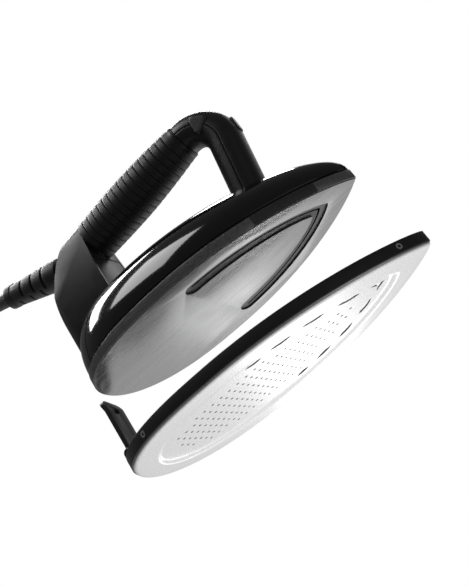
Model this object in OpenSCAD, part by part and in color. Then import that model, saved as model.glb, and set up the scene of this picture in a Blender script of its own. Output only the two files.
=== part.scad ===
// Steam-station clothes iron with a clip-on protective shoe, shown with the shoe hanging below the sole.
// The origin is the middle of the shoe's ironing face: +X is the nose, +Y the left side, +Z up.

/* [Soleplate] */
// Where the widest part of the sole lies along the length
wide_x = -20; // [-24:1:-16]
// Tip of the sole
sole_nose = 106; // [102:1:108]
// Heel of the sole
sole_tail = -111; // [-112:0.5:-108]
// Half width of the sole
sole_half = 58; // [56:0.5:59]
// Height of the sole's bright side wall
sole_t = 7.3; // [6:0.1:8]
// Depth of the steam recess in the ironing face
recess_depth = 1.2; // [0.8:0.1:2]

/* [Body shell] */
// Height of the domed shell above its rim
dome_h = 45; // [42:0.5:48]
// Wall thickness of the moulded shells
wall = 2.2; // [1.8:0.1:2.6]

/* [Handle] */
// Height of the grip's centre line above the sole, halfway along the iron
grip_z = 102.3; // [100:0.5:105]
// Rise of the grip towards the nose in degrees
grip_tilt = 5; // [3:0.1:6]
// Largest radius of the barrel grip
grip_r = 16.6; // [15.5:0.1:17]
// Number of ribs on the grip
ribs = 17; // [12:1:20]
// Lean of the front post in degrees
post_lean = 10.5; // [8:0.5:12]
// Radius of the elbow's centre line
bend_r = 21; // [20:0.5:24]
// Radius of the front post
post_r = 12.1; // [11.5:0.1:12.5]

/* [Rear column] */
// Half width of the column
column_half = 20; // [19:0.5:21]
// Front face of the column
column_front_x = -60.5; // [-62:0.5:-60]
// Rear face of the column at the heel
column_rear_x = -108.5; // [-110.5:0.5:-108]

/* [Shoe] */
// Gap that the shoe has to travel to clip on
apart = 59.5; // [56:0.5:60]
// Sheet thickness of the shoe
sheet = 1; // [0.8:0.1:1.2]
// Height of the raised steam panel above the shoe's flange
panel_rise = 2; // [1.5:0.1:2.5]
// Height of the black rim
rim_h = 8; // [7:0.5:9]
// Diameter of the steam holes
hole_d = 2; // [1.6:0.1:2.4]

/* [Hose] */
// Diameter of the braided hose
hose_d = 11; // [10:0.5:12]
// Middle radius of the stored coil
coil_r = 56; // [54:1:62]

/* [Hidden] */

// Heights. The sheet panel carries the sole when the shoe is clipped on.
panel_top = panel_rise + sheet;
sole_z = panel_top + apart;
gap_h = 1.5;
shell_z = sole_t + gap_h;
deck_z = 14;
deck_t = 2.4;
deck_top = deck_z + deck_t;

// Plan curves: half width, widest station, nose, tail and how blunt the nose is.
SOLE = [sole_half, wide_x, sole_nose, sole_tail, 0.85];
SHELL = [sole_half - 0.6, wide_x, sole_nose - 0.8, sole_tail + 0.6, 0.85];
SHOE_EDGE = [62.4, -18, 114.6, -115.6, 0.85];
SHOE_FOOT = [61.3, -18, 113.2, -114.5, 0.85];
RIM_OUT = [63.2, -18, 115.5, -116.4, 0.85];
RIM_IN = [61, -18, 112.8, -114.2, 0.85];
TURN_IN = [60, -18, 111.6, -113.2, 0.85];

// V-shaped recess and slit: half width at the arms' ends and apex of the two edges.
arm_x = -6;
RECESS = [[43.3, 83], [31, 70.5]];
SLIT = [[39.2, 77.4], [37.8, 75.6]];
CHAMBER = [[41.5, 81], [34.5, 72.5]];
COVER = [[44.5, 85], [31, 68]];

// Handle geometry in the iron's own height.
grip_front_x = 33.7;
corner_x = 61.4;
function grip_at(x) = grip_z + tan(grip_tilt) * x;
turn = 90 + grip_tilt + post_lean;
bisector = 90 + grip_tilt - turn / 2;
bend_x = corner_x - bend_r / cos(turn / 2) * cos(bisector);
bend_z = grip_at(corner_x) - bend_r / cos(turn / 2) * sin(bisector);
collar_r = 12.9;
elbow_r = 12.3;
bend_tube_r = 11.8;
post_foot_z = 36;

// Side buttons sit on the elbow's middle line, the front button on its outer face.
button_angle = 46;
button_x = bend_x + (bend_r + 0.6) * cos(button_angle);
button_z = bend_z + (bend_r + 0.6) * sin(button_angle);
button_face = 12.1;
button_back = 8.6;
front_button_z = bend_z + 1.5;
front_button_face = bend_x + bend_r + bend_tube_r + 0.9;
front_button_back = front_button_face - 4.6;
button_gap = 0.3;

// Column profile: a quarter ellipse from the grip down to the heel.
ellipse_z = 40;
ellipse_a = column_front_x - column_rear_x;
ellipse_b = grip_at(column_front_x) + 15.2 - ellipse_z;
ellipse_p = 1.15;

// Strain relief: where its axis leaves the column and how it rises.
relief_x = -90;
relief_z = 95.4;
relief_rise = 18.4;
relief_len = 54;
relief_root_r = 11;
relief_end_r = 8.3;

// Heel latch.
pin_x = -115;
pin_z = 20;
ear_r = 3.4;
pin_r = 1.2;
lever_half = 8.5;
lever_t = 3.2;
lever_top = 61.3;
ear_out = 11;
ear_in = 8.8;

// Hose route in the iron's frame: out of the strain relief, over and down to the coil on the floor.
HOSE_ROUTE = [[-128, 0, 170.4], [-141, 0, 174.8], [-155, 0, 179.4], [-171, -1, 183], [-188, -2, 183],
    [-204, -4, 179], [-218, -8, 171], [-230, -13, 160], [-239, -18, 146], [-246, -24, 130], [-251, -30, 113],
    [-256, -36, 95], [-262, -42, 77], [-270, -48, 60], [-281, -54, 43], [-296, -59.5, 27], [-313, -63, 14],
    [-331, -64.3, 7.2], [-348, -63.5, 5.5]];
COIL_AT = [-358, 1];
coil_layers = 2;
TAIL_ROUTE = [[-346.5, 65.3, 16.5], [-334, 62, 18.5], [-322, 55.5, 22], [-312, 47, 25.5], [-303.5, 36, 27.5],
    [-298, 23.5, 28], [-295, 10.5, 28], [-294.5, -2.5, 28], [-297, -15.5, 28.5], [-302, -27.5, 29.5],
    [-310, -38, 31], [-320, -46.8, 32.2], [-331, -52.5, 32.6], [-343, -55.5, 32.6], [-355, -56, 32.6]];
tail_turn = 180;

// ---------- Shapes shared by several parts ----------

// Outline of a sole-like plate from its curve [half, widest, nose, tail, bluntness].
function front_edge(c, t) = [c[1] + (c[2] - c[1]) * sin(t), c[0] * pow(cos(t), 2 * c[4])];
function rear_edge(c, t) = [c[1] - (c[1] - c[3]) * pow(sin(t), 2 / 2.7), c[0] * cos(t)];
function upper_edge(c, n) = [for (i = [0 : n]) front_edge(c, 90 - 90 * i / n),
    for (i = [1 : n]) rear_edge(c, 90 * i / n)];
function flip(p) = [for (i = [len(p) - 2 : -1 : 1]) [p[i][0], -p[i][1]]];
function sole_outline(c, n = 18) = concat(upper_edge(c, n), flip(upper_edge(c, n)));

module slab(c, h, n = 18) linear_extrude(h) polygon(sole_outline(c, n));

// One edge of the V: half width w at the arm end, closing at the apex.
function v_edge(e, x) = e[0] * pow(max(0, 1 - pow((x + 12) / (e[1] + 12), 2)), 0.8);
function v_side(e, n) = [for (i = [0 : n]) let (x = arm_x + (e[1] - arm_x) * sin(90 * i / n))
    [x, v_edge(e, x)]];
function v_full(e, n, s) = let (half = v_side(e, n)) concat(
    [for (i = [0 : n]) [half[i][0], s * half[i][1]]],
    [for (i = [n - 1 : -1 : 0]) [half[i][0], -s * half[i][1]]]);
// Closed band between two edges, with round ends on the arms.
module v_band(e, h, n = 16) {
    mid = (v_edge(e[0], arm_x) + v_edge(e[1], arm_x)) / 2;
    r = (v_edge(e[0], arm_x) - v_edge(e[1], arm_x)) / 2;
    linear_extrude(h) polygon(concat(
        v_full(e[0], n, 1),
        [for (i = [1 : 11]) [arm_x - r * sin(15 * i), -mid - r * cos(15 * i)]],
        v_full(e[1], n, -1),
        [for (i = [1 : 11]) [arm_x - r * sin(15 * i), mid - r * cos(15 * i)]]));
}

// Skin through equal rings of points, closed at each end. The rings of a hollow one run along the outside
// and back along the inside.
module loft(rings, hollow = false) {
    m = len(rings[0]);
    n = len(rings);
    sides = [for (i = [0 : n - 2], j = [0 : m - 1]) let (k = (j + 1) % m)
        each [[i * m + j, i * m + k, (i + 1) * m + k], [i * m + j, (i + 1) * m + k, (i + 1) * m + j]]];
    last = hollow ? [for (j = [0 : m / 2 - 2]) [j, j + 1, m - 2 - j, m - 1 - j]]
        : [[for (j = [0 : m - 1]) j]];
    ends = [for (f = last) each [[for (j = [len(f) - 1 : -1 : 0]) f[j]], [for (j = f) (n - 1) * m + j]]];
    polyhedron(points = [for (r = rings) each r], faces = concat(ends, sides), convexity = 6);
}

function unit(v) = v / norm(v);
function tangent(p, i) = unit(p[min(i + 1, len(p) - 1)] - p[max(i - 1, 0)]);
// Round tube swept along a route.
function tube_ring(p, i, r, n) = let (t = tangent(p, i), u = unit(cross([0, 0.97, 0.24], t)), v = cross(t, u))
    [for (j = [0 : n - 1]) p[i] + r * (cos(360 * j / n) * u + sin(360 * j / n) * v)];
module tube(p, r, n = 10) loft([for (i = [len(p) - 1 : -1 : 0]) tube_ring(p, i, r, n)]);

function helix(r, h, turns, steps) = [for (i = [0 : steps]) let (a = 360 * turns * i / steps)
    [r * cos(a), r * sin(a), h * i / steps]];
module spring(r, wire, h, turns) tube(helix(r, h, turns, turns * 10), wire / 2, 8);

module at_iron() translate([0, 0, sole_z]) children();
module screw(head_r, r, length) {
    cylinder(h = length, r = r, $fn = 24);
    translate([0, 0, length]) difference() {
        cylinder(h = 1.8, r = head_r, $fn = 32);
        translate([0, 0, 0.8]) cylinder(h = 1.2, r = head_r * 0.42, $fn = 6);
    }
}

// Children stand on the grip's centre line at x, their +Z pointing towards the nose.
module on_grip(x) translate([x, 0, grip_at(x)]) rotate([0, 90 - grip_tilt, 0]) children();
module on_relief(d) translate([relief_x - d * cos(relief_rise), 0, relief_z + d * sin(relief_rise)])
    rotate([0, -90 + relief_rise, 0]) children();

// ---------- Sole and steam chamber ----------

module soleplate() color("silver") at_iron() difference() {
    union() {
        translate([0, 0, 0.7]) slab(SOLE, sole_t - 0.7, 22);
        slab([SOLE[0] - 0.7, SOLE[1], SOLE[2] - 1.2, SOLE[3] + 0.7, SOLE[4]], 0.7, 22);
    }
    translate([0, 0, -1]) v_band(RECESS, 1 + recess_depth);
    translate([0, 0, 0]) v_band(SLIT, 4);
    translate([0, 0, 3.8]) v_band(CHAMBER, sole_t);
    heater_run(3.45);
    heater_pins(1.65);
    for (p = cover_holes) translate([p[0], p[1], 3]) cylinder(h = 10, r = 1.45, $fn = 24);
    for (p = standoff_at) translate([p[0], p[1], 3]) cylinder(h = 10, r = 1.45, $fn = 24);
}

heater_half = 15;
heater_nose = 24;
heater_tail = -86;
heater_z = 7.3;
module heater_run(r) translate([0, 0, heater_z]) {
    for (s = [-1, 1]) translate([heater_tail, s * heater_half, 0]) rotate([0, 90, 0])
        cylinder(h = heater_nose - heater_tail, r = r, $fn = 32);
    translate([heater_nose, 0, 0]) rotate([0, 0, -90]) rotate_extrude(angle = 180, $fn = 64)
        translate([heater_half, 0]) circle(r = r, $fn = 32);
}
module heater_pins(r) for (s = [-1, 1]) translate([heater_tail - 7, s * heater_half, heater_z])
    rotate([0, 90, 0]) cylinder(h = 7.5, r = r, $fn = 24);
module heating_element() color("dimgray") at_iron() {
    heater_run(3.4);
    heater_pins(1.6);
}

cover_holes = [[20, 40.8], [20, -40.8], [50, 26.5], [50, -26.5]];
seal_t = 0.8;
module chamber_seal() color("firebrick") at_iron() translate([0, 0, sole_t]) difference() {
    v_band([[43.5, 84], [32.2, 69.6]], seal_t);
    translate([0, 0, -1]) v_band(CHAMBER, seal_t + 2);
}
module chamber_cover() color("darkgray") at_iron() translate([0, 0, sole_t + seal_t]) difference() {
    v_band(COVER, 1.6);
    translate([74, 0, -1]) cylinder(h = 4, r = 3.1, $fn = 32);
}
module cover_screws() color("gainsboro") at_iron() for (s = [-1, 1], x = [0, 45])
    translate([x, s * (v_edge([43.2, 83], x) + v_edge([32.6, 70], x)) / 2, sole_t + seal_t + 1.6])
        screw_head();
module screw_head() difference() {
    cylinder(h = 1.8, r = 2.8, $fn = 32);
    translate([0, 0, 0.9]) cylinder(h = 1.5, r = 1.2, $fn = 6);
}

module steam_inlet() color("goldenrod") at_iron() translate([74, 0, sole_t + seal_t]) difference() {
    union() {
        cylinder(h = 7, r = 3, $fn = 32);
        translate([0, 0, 1.6]) cylinder(h = 1.6, r = 4.6, $fn = 32);
        translate([0, 0, 5.2]) rotate([0, -90, -40]) cylinder(h = 12, r = 2, $fn = 32);
    }
    translate([0, 0, -1]) cylinder(h = 6.2, r = 1.6, $fn = 32);
    translate([0, 0, 5.2]) rotate([0, -90, -40]) cylinder(h = 13, r = 1.1, $fn = 32);
}

module thermostat() color("whitesmoke") at_iron() translate([-34, 0, sole_t]) {
    cylinder(h = 4, r = 8, $fn = 48);
    for (s = [-1, 1]) translate([-1, s * 4.5 - 1.5, 4]) cube([8, 3, 0.8]);
}
module thermal_fuse() color("ivory") at_iron() translate([-67, 0, sole_t + 2.4]) {
    rotate([0, 90, 0]) cylinder(h = 18, r = 2.4, $fn = 32);
    translate([-6, 0, 0]) rotate([0, 90, 0]) cylinder(h = 30, r = 0.6, $fn = 16);
}
module temperature_sensor() color("orange") at_iron() translate([8, 0, sole_t]) {
    cylinder(h = 3.2, r = 3.5, $fn = 32);
    translate([0, 0, 3.2]) cylinder(h = 1.4, r = 1.6, $fn = 24);
}

module gap_ring() color("black") at_iron() translate([0, 0, sole_t]) difference() {
    slab([SOLE[0] - 1.4, SOLE[1], SOLE[2] - 2.2, SOLE[3] + 1.3, SOLE[4]], gap_h);
    translate([0, 0, -1]) slab([47.5, -18, 91, -99, 0.75], gap_h + 2);
}

standoff_at = [[-76, 31], [-76, -31], [-4, 23], [-4, -23]];
module standoffs() color("silver") at_iron() for (p = standoff_at) translate([p[0], p[1], sole_t])
    difference() {
        cylinder(h = deck_z - sole_t, r = p[0] < -50 ? 3.6 : 3, $fn = 32);
        translate([0, 0, -1]) cylinder(h = 12, r = 1.55, $fn = 24);
    }
module heat_shield() color("dimgray") at_iron() translate([0, 0, deck_z]) difference() {
    slab([SOLE[0] - 5, SOLE[1], SOLE[2] - 18, SOLE[3] + 6, SOLE[4]], deck_t);
    for (p = standoff_at) translate([p[0], p[1], -1]) cylinder(h = 6, r = 1.55, $fn = 24);
    translate([-90, 0, -1]) cylinder(h = 6, r = 8, $fn = 40);
    translate([0, 0, -1]) linear_extrude(6)
        polygon([[46, 11.5], [60, 6], [66, -5], [79, -5], [79, 4], [76, 8], [62, 18], [46, 19]]);
}
module deck_screws() color("gainsboro") at_iron() for (p = standoff_at)
    translate([p[0], p[1], deck_top - 10]) screw(3, 1.45, 10);

// ---------- Body shell ----------

// The dome is a row of arches across the iron, each closed by its inner arch.
dome_mid_x = -45;
shell_front = SHELL[2];
shell_rear = SHELL[3];
function shell_half(x) = x > wide_x
    ? SHELL[0] * pow(max(0, 1 - pow((x - wide_x) / (shell_front - wide_x), 2)), 0.85)
    : SHELL[0] * pow(max(0, 1 - pow((wide_x - x) / (wide_x - shell_rear), 2.7)), 0.5);
function shell_rise(x) = x > dome_mid_x
    ? dome_h * pow(max(0, 1 - pow((x - dome_mid_x) / (shell_front - dome_mid_x), 1.6)), 0.5)
    : dome_h * pow(max(0, 1 - pow((dome_mid_x - x) / (dome_mid_x - shell_rear), 4)), 0.5);
function arch(x, a, h, n) = [for (i = [0 : n]) [x, a * cos(180 * i / n), h * sin(180 * i / n)]];
function shell_arch(x, n) = let (a = max(3, shell_half(x)), h = max(3, shell_rise(x)))
    concat(arch(x, a, h, n), [for (i = [n : -1 : 0])
        arch(x, max(1.4, a - wall), max(1.4, h - wall), n)[i]]);
shell_stations = [for (i = [0 : 26]) let (t = cos(180 * i / 26))
    (shell_front + shell_rear) / 2 + t * ((shell_front - shell_rear) / 2 - 0.1)];
module body_shell() color([0.05, 0.05, 0.055]) at_iron() difference() {
    translate([0, 0, shell_z]) loft([for (x = shell_stations) shell_arch(x, 20)], true);
    translate([0, 0, deck_top]) linear_extrude(80) column_plan(0.3);
    along_post(-16) cylinder(h = 60, r = post_r + 0.3, $fn = 48);
}

// ---------- Rear column ----------

corner_r = 13;
function corner_arc(cx, cy, r, a0, a1, n) = [for (i = [0 : n]) let (a = a0 + (a1 - a0) * i / n)
    [cx + r * cos(a), cy + r * sin(a)]];
module column_plan(grow) polygon(concat(
    [[column_front_x + grow, -column_half - grow], [column_front_x + grow, column_half + grow]],
    corner_arc(column_rear_x + corner_r, column_half - corner_r, corner_r + grow, 90, 180, 10),
    corner_arc(column_rear_x + corner_r, corner_r - column_half, corner_r + grow, 180, 270, 10)));
// Side profile, drawn in x and z.
module column_profile(grow) polygon(concat(
    [[column_front_x + grow, deck_top - 1], [column_front_x + grow, ellipse_z + ellipse_b + grow]],
    [for (i = [1 : 18]) let (a = 90 + 90 * i / 18)
        [column_front_x - (ellipse_a + grow) * pow(-cos(a), ellipse_p),
            ellipse_z + (ellipse_b + grow) * pow(sin(a), ellipse_p)]],
    [[column_rear_x - grow, deck_top - 1]]));
// Front view, drawn in y and z: straight sides and a round top that meets the grip.
module column_view(grow) {
    top_z = grip_at(column_front_x);
    side = column_half + grow;
    round_r = 15.4 + grow;
    polygon(concat([[side, deck_top - 1], [side, top_z - 28]],
        [for (i = [0 : 16]) let (a = 6 + 168 * i / 16) [round_r * cos(a), top_z + round_r * sin(a)]],
        [[-side, top_z - 28], [-side, deck_top - 1]]));
}
module column_solid(grow) intersection() {
    translate([0, 60, 0]) rotate([90, 0, 0]) linear_extrude(120) column_profile(grow);
    linear_extrude(140) column_plan(grow);
    translate([-130, 0, 0]) rotate([90, 0, 90]) linear_extrude(90) column_view(grow);
}
insert_half = 18;
insert_top = 80.2;
module insert_plan(grow) polygon([[insert_half + grow, deck_top], [insert_half + grow, 66],
    [insert_half - 2 + grow, insert_top + grow], [2 - insert_half - grow, insert_top + grow],
    [-insert_half - grow, 66], [-insert_half - grow, deck_top]]);
module column_shell() difference() {
    column_solid(0);
    column_solid(-wall);
    translate([-120, -50, 0]) cube([100, 100, deck_top]);
    on_grip(column_front_x - 0.05) cylinder(h = 8, r = grip_r + 1, $fn = 72);
    on_grip(column_front_x - 8) cylinder(h = 12, r = 12.2, $fn = 48);
    translate([column_front_x - 3, 0, 0]) rotate([90, 0, 90]) linear_extrude(6) insert_plan(0.2);
    on_relief(-6) cylinder(h = 40, r = relief_root_r - 1.9, $fn = 48);
}
module column_left() color([0.09, 0.09, 0.095]) at_iron() intersection() {
    column_shell();
    translate([-130, 0.05, 0]) cube([100, 60, 160]);
}
module column_right() color([0.09, 0.09, 0.095]) at_iron() intersection() {
    column_shell();
    translate([-130, -60.05, 0]) cube([100, 60, 160]);
}
module column_front() color([0.2, 0.2, 0.205]) at_iron() difference() {
    translate([column_front_x - 2.2, 0, 0]) rotate([90, 0, 90]) linear_extrude(2) insert_plan(0);
    translate([column_front_x - 4, 0, deck_top + 8]) rotate([0, 90, 0]) cylinder(h = 6, r = 4.5, $fn = 40);
}
module terminal_block() color("ivory") at_iron() translate([-92, -9, deck_top]) difference() {
    cube([22, 18, 12]);
    for (x = [4, 11, 18], y = [4.5, 13.5]) translate([x, y, 5]) cylinder(h = 8, r = 1.7, $fn = 24);
}
module wiring() color("slategray") at_iron() {
    tube([[-84, -4, 29], [-86, -5, 40], [-85, -4, 55], [-82, -2, 70], [-77, 0, 84], [-71, 0, 92],
        [-65, 0, 96], [-57, 0, grip_at(-57)]], 1.8, 8);
    tube([[-76, 5, 29], [-74, 6, 40], [-76, 6, 55], [-80, 4, 68], [-83, 1, 78], [-85, 0, 86]], 1.8, 8);
}
module steam_tube() color("salmon") at_iron() tube([[-84, 8, 86], [-82, 10, 78], [-78, 12, 68],
    [-72, 12, 56], [-68, 12, 44], [-66.6, 10.5, 35], [-66.2, 6, 28.5], [-65, 1.5, 25.4], [-61, 0, 24.4],
    [-46, 0, 22], [-20, 1, 20], [0, 5, 20], [22, 12, 20], [42, 15.5, 19.6], [52, 14.5, 17.8],
    [58, 12, 14.8], [62, 9.6, 13.5], [64.6, 7.6, 13.3]], 2.2, 8);

// ---------- Handle ----------

grip_len = (grip_front_x - column_front_x) / cos(grip_tilt);
collar_w = 3.2;
rib_pitch = (grip_len - collar_w) / ribs;
// Barrel radius at a distance from the column.
function barrel(s) = let (u = s / grip_len)
    u < 0.4 ? grip_r - 0.8 * pow((0.4 - u) / 0.4, 2) : grip_r - 3.6 * pow((u - 0.4) / 0.6, 1.7);
module grip_sleeve() color([0.03, 0.03, 0.03]) at_iron() on_grip(column_front_x) rotate_extrude($fn = 72)
    polygon(concat([[11.1, 0.1], [barrel(0), 0.1]],
        [for (i = [1 : ribs - 1]) let (s = i * rib_pitch)
            each [[barrel(s), s - 0.35], [barrel(s) - 0.8, s], [barrel(s), s + 0.35]]],
        [[barrel(grip_len - collar_w), grip_len - collar_w], [11.1, grip_len - collar_w]]));
module grip_collar() color([0.12, 0.12, 0.12]) at_iron() on_grip(column_front_x)
    translate([0, 0, grip_len - collar_w]) difference() {
        union() {
            cylinder(h = collar_w - 0.6, r = collar_r + 0.5, $fn = 72);
            translate([0, 0, collar_w - 0.6]) cylinder(h = 0.5, r = collar_r, $fn = 72);
        }
        translate([0, 0, -1]) cylinder(h = 6, r = 11.1, $fn = 64);
    }
module handle_core() color("gray") at_iron() on_grip(column_front_x - 6) difference() {
    cylinder(h = grip_len + 5.9, r = 11, $fn = 64);
    translate([0, 0, -1]) cylinder(h = grip_len + 9, r = 8, $fn = 64);
}

// Stations along the elbow: an arc from the collar, then the straight post.
elbow_steps = 16;
post_top = [bend_x + bend_r * cos(-post_lean), bend_z - bend_r * sin(post_lean)];
post_dir = [-sin(post_lean), -cos(post_lean)];
post_len = (post_top[1] - post_foot_z) / cos(post_lean);
// A station holds [x, z, angle of its outward normal, tube radius].
function elbow_station(i) = i <= elbow_steps
    ? let (u = i / elbow_steps, a = 90 + grip_tilt - turn * u)
        [bend_x + bend_r * cos(a), bend_z + bend_r * sin(a), a,
            u < 0.5 ? elbow_r + (bend_tube_r - elbow_r) * (1 - cos(360 * u)) / 2
                : bend_tube_r + (post_r - bend_tube_r) * (1 - cos(360 * (u - 0.5))) / 2]
    : let (d = (i - elbow_steps) / 2 * post_len)
        [post_top[0] + d * post_dir[0], post_top[1] + d * post_dir[1], -post_lean, post_r];
function half_ring(s, from, n) = let (r = s[3], out = [cos(s[2]), 0, sin(s[2])])
    [for (layer = [0, 1], i = [0 : n]) let (k = layer == 0 ? i : n - i,
        b = from + 1 + 178 * k / n, q = r - layer * wall)
        [s[0], 0, s[1]] + q * (cos(b) * out + sin(b) * [0, 1, 0])];
module elbow_half(from) difference() {
    loft([for (i = [0 : elbow_steps + 2]) half_ring(elbow_station(i), from, 20)], true);
    for (s = [-1, 1]) on_side(s, 5, 12) button_plan(button_gap);
    translate([front_button_back, 0, front_button_z]) rotate([90, 0, 90]) linear_extrude(12)
        pad_plan(button_gap);
}
module elbow_outer() color([0.1, 0.1, 0.105]) at_iron() elbow_half(-90);
module elbow_inner() color([0.1, 0.1, 0.105]) at_iron() elbow_half(90);
// Children stand on the post's axis at a distance above its foot, +Z along the post.
module along_post(d) translate([post_top[0] + (post_len - d) * post_dir[0], 0,
    post_top[1] + (post_len - d) * post_dir[1]]) rotate([0, post_lean, 0]) children();
module post_core() color("gray") at_iron() difference() {
    intersection() {
        along_post(-30) cylinder(h = 52, r = 9.4, $fn = 48);
        translate([0, -20, deck_top]) cube([90, 40, 90]);
    }
    along_post(-34) cylinder(h = 60, r = 6.4, $fn = 48);
}
// Screws that join the elbow's halves: place from the bend's centre and direction.
module elbow_screws() color("gainsboro") at_iron() for (q = [[6, 18, 72], [17, -14, -post_lean]])
    translate([bend_x + q[0], 0, bend_z + q[1]]) rotate([0, 90 - q[2], 0])
        translate([0, 0, -4]) screw(2.4, 1.2, 6);

// Convex outline round circles of one radius, listed anticlockwise.
function rounded(c, r, n) = [for (i = [0 : len(c) - 1])
    let (before = c[i] - c[(i + len(c) - 1) % len(c)], after = c[(i + 1) % len(c)] - c[i],
        a0 = atan2(-before[0], before[1]), a1 = atan2(-after[0], after[1]), span = (a1 - a0 + 360) % 360)
    for (k = [0 : n]) c[i] + r * [cos(a0 + span * k / n), sin(a0 + span * k / n)]];
// Rounded triangle of a steam button, drawn along the nose and up.
BUTTON_CORNERS = [[-1.9, -3.1], [3.2, -0.4], [-1.6, 3.9]];
module button_plan(grow) polygon(rounded(BUTTON_CORNERS, 3.4 + grow, 8));
module pad_plan(grow) polygon(concat(corner_arc(0, 3.2, 3.6 + grow, 0, 180, 14),
    corner_arc(0, -3.2, 3.6 + grow, 180, 360, 14)));
// Extrudes its child's outline outwards from a distance off the middle plane, on the side s.
module on_side(s, from, depth) translate([button_x, s > 0 ? from + depth : -from, button_z])
    rotate([90, 0, 0]) linear_extrude(depth) children();
module side_button(s) {
    on_side(s, button_back, button_face - button_back) button_plan(0);
    translate([button_x, s * (button_back - 1.4), button_z]) rotate([s * -90, 0, 0])
        cylinder(h = 1.5, r = 1.3, $fn = 32);
}
module steam_button_right() color([0.13, 0.13, 0.135]) at_iron() side_button(-1);
module steam_button_left() color([0.13, 0.13, 0.135]) at_iron() side_button(1);
module front_button() color([0.16, 0.16, 0.165]) at_iron()
    translate([front_button_back, 0, front_button_z]) rotate([90, 0, 90]) {
        linear_extrude(front_button_face - front_button_back - 0.5) pad_plan(0);
        linear_extrude(front_button_face - front_button_back) pad_plan(-0.6);
    }
module button_spring(s) translate([button_x, s * (button_back - 3.7), button_z]) rotate([s * -90, 0, 0])
    spring(2.2, 0.5, 3.4, 4);
module button_spring_right() color("silver") at_iron() button_spring(-1);
module button_spring_left() color("silver") at_iron() button_spring(1);
module front_button_spring() color("silver") at_iron()
    translate([front_button_back - 4.1, 0, front_button_z]) rotate([0, 90, 0]) spring(2.2, 0.5, 3.8, 4);
board_half = 0.8;
module switch_board() color("darkgreen") at_iron() {
    translate([button_x - 4, -board_half, button_z - 6.5]) cube([10, 2 * board_half, 11.5]);
    translate([front_button_back - 13, -board_half, front_button_z - 3])
        cube([4.4, 2 * board_half, button_z - front_button_z]);
}
module microswitches() color([0.15, 0.15, 0.16]) at_iron() {
    for (s = [-1, 1]) translate([button_x - 1.5, s * (board_half + 1), button_z])
        cube([3, 2, 3], center = true);
    translate([front_button_back - 8.6, -1.5, front_button_z - 1.5]) cube([2, 3, 3]);
}

// ---------- Strain relief and hose ----------

// Staggered slits make the rubber boot flexible.
module strain_relief() color([0.07, 0.07, 0.07]) at_iron() on_relief(0) difference() {
    rotate_extrude($fn = 64) polygon([[hose_d / 2, -2], [relief_root_r - 2, -2], [relief_root_r - 2, 5],
        [relief_root_r, 5], [relief_root_r, 13], [relief_end_r, relief_len - 5],
        [hose_d / 2, relief_len - 5]]);
    for (i = [0 : 5], s = [0, 180]) rotate([0, 0, s + (i % 2) * 90]) translate([0, 0, 16 + i * 5.2])
        translate([-12, 6.7, 0]) cube([24, 8, 2]);
}
module relief_collar() color([0.05, 0.05, 0.05]) at_iron() on_relief(relief_len - 5) difference() {
    union() {
        cylinder(h = 5, r = relief_end_r + 0.4, $fn = 64);
        translate([relief_end_r - 1, 0, 0]) cylinder(h = 5, r = 2.6, $fn = 32);
    }
    translate([0, 0, -1]) cylinder(h = 8, r = hose_d / 2, $fn = 48);
}
module hose_clamp() color("silver") at_iron() on_relief(-6) difference() {
    cylinder(h = 4, r = 8, $fn = 48);
    translate([0, 0, -1]) cylinder(h = 6, r = hose_d / 2, $fn = 48);
}
module hose_lead() color([0.08, 0.08, 0.08]) tube(HOSE_ROUTE, hose_d / 2, 10);
coil_half = hose_d + 3.8;
module hose_coil() color([0.08, 0.08, 0.08]) translate([COIL_AT[0], COIL_AT[1], 0])
    rotate_extrude($fn = 72) translate([coil_r, 0]) polygon(concat(
        corner_arc(coil_half - 5.5, 5.5, 5.5, -90, 0, 6),
        corner_arc(coil_half - 5.5, coil_layers * hose_d - 5.5, 5.5, 0, 90, 6),
        corner_arc(5.5 - coil_half, coil_layers * hose_d - 5.5, 5.5, 90, 180, 6),
        corner_arc(5.5 - coil_half, 5.5, 5.5, 180, 270, 6)));
module coil_tie() color([0.2, 0.2, 0.2]) translate([COIL_AT[0], COIL_AT[1] + coil_r, 0]) difference() {
    translate([-4, -coil_half - 1.5, 0]) cube([8, 2 * coil_half + 3, coil_layers * hose_d + 1.2]);
    translate([-5, -coil_half - 0.3, -1]) cube([10, 2 * coil_half + 0.6, coil_layers * hose_d + 1]);
}
module hose_tail() color([0.08, 0.08, 0.08]) tube(TAIL_ROUTE, hose_d / 2, 10);

// The connector lies on the coil and plugs into the steam station.
connector_len = 46;
module at_connector() translate(TAIL_ROUTE[len(TAIL_ROUTE) - 1]) rotate([0, 0, tail_turn])
    rotate([0, 90, 0]) children();
module connector_body() color([0.09, 0.09, 0.09]) at_connector() difference() {
    union() {
        cylinder(h = 12, r = 9, $fn = 48);
        translate([0, 0, 12]) intersection() {
            translate([-10.5, -13, 0]) cube([21, 26, connector_len - 12]);
            cylinder(h = connector_len, r = 14.5, $fn = 48);
        }
    }
    translate([-7.5, -10, connector_len - 9]) cube([15, 20, 10]);
    translate([0, 0, -1]) cylinder(h = 9, r = hose_d / 2, $fn = 48);
}
module connector_nozzle() color("goldenrod") at_connector() translate([0, -5.2, connector_len - 9])
    difference() {
        cylinder(h = 11, r = 3, $fn = 40);
        translate([0, 0, 1]) cylinder(h = 12, r = 1.7, $fn = 40);
    }
module connector_pins() color("silver") at_connector() for (x = [-3.6, 0, 3.6], y = [3.2, 6.8])
    translate([x, y, connector_len - 9]) cylinder(h = 8, r = 0.9, $fn = 24);

// ---------- Shoe ----------

row_pitch = 6.8;
hole_pitch = 7;
first_row_x = 55;
ROW_COUNTS = [1, 3, 3, 5, 5, 5, 7, 7, 9, 9, 9, 9, 9, 9, 9, 9, 9, 7, 7, 7, 3];
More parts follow.
